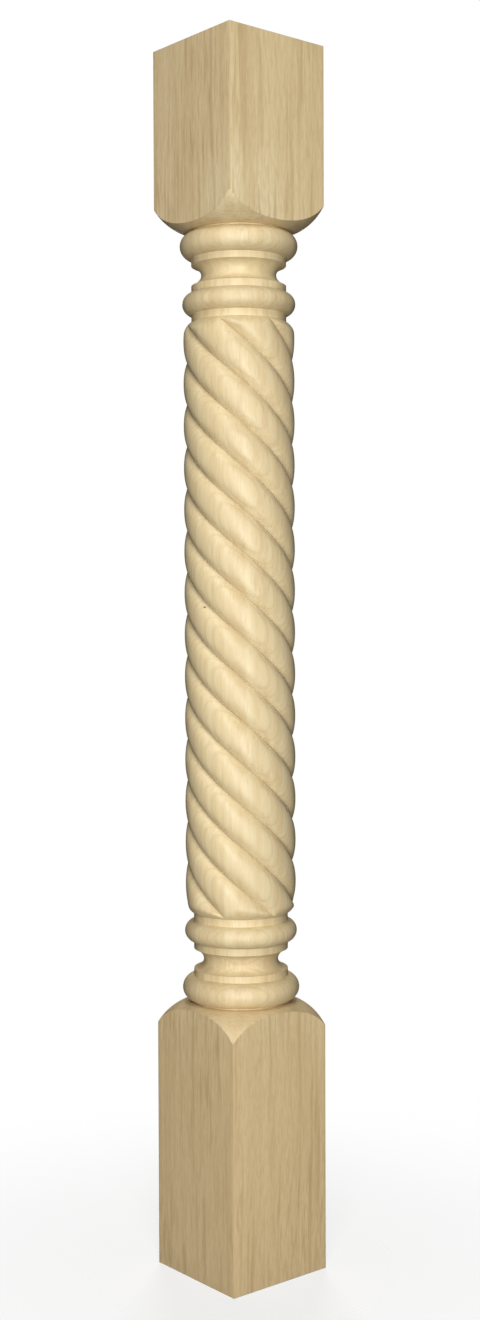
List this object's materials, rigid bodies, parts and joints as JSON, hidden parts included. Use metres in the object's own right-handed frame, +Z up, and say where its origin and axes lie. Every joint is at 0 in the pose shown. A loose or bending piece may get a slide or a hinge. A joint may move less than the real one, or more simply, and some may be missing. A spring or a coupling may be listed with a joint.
{
  "type": "barley twist column",
  "caption": "Square hardwood post, turned with beads and scotias between its end blocks and carved in the middle as a left-hand barley twist.",
  "frame": {"origin": "centre of the square underside", "axes": "+Z up along the column's axis, towards the top of the shorter block; the blocks' faces are square to X and Y"},
  "size_m": [0.0888, 0.0888, 0.9017],
  "materials": {
    "raw_hardwood": "sanded pale hardwood, unfinished, with straight fine grain"
  },
  "bodies": {
    "root": {"column": "raw_hardwood"}
  },
  "joints": []
}
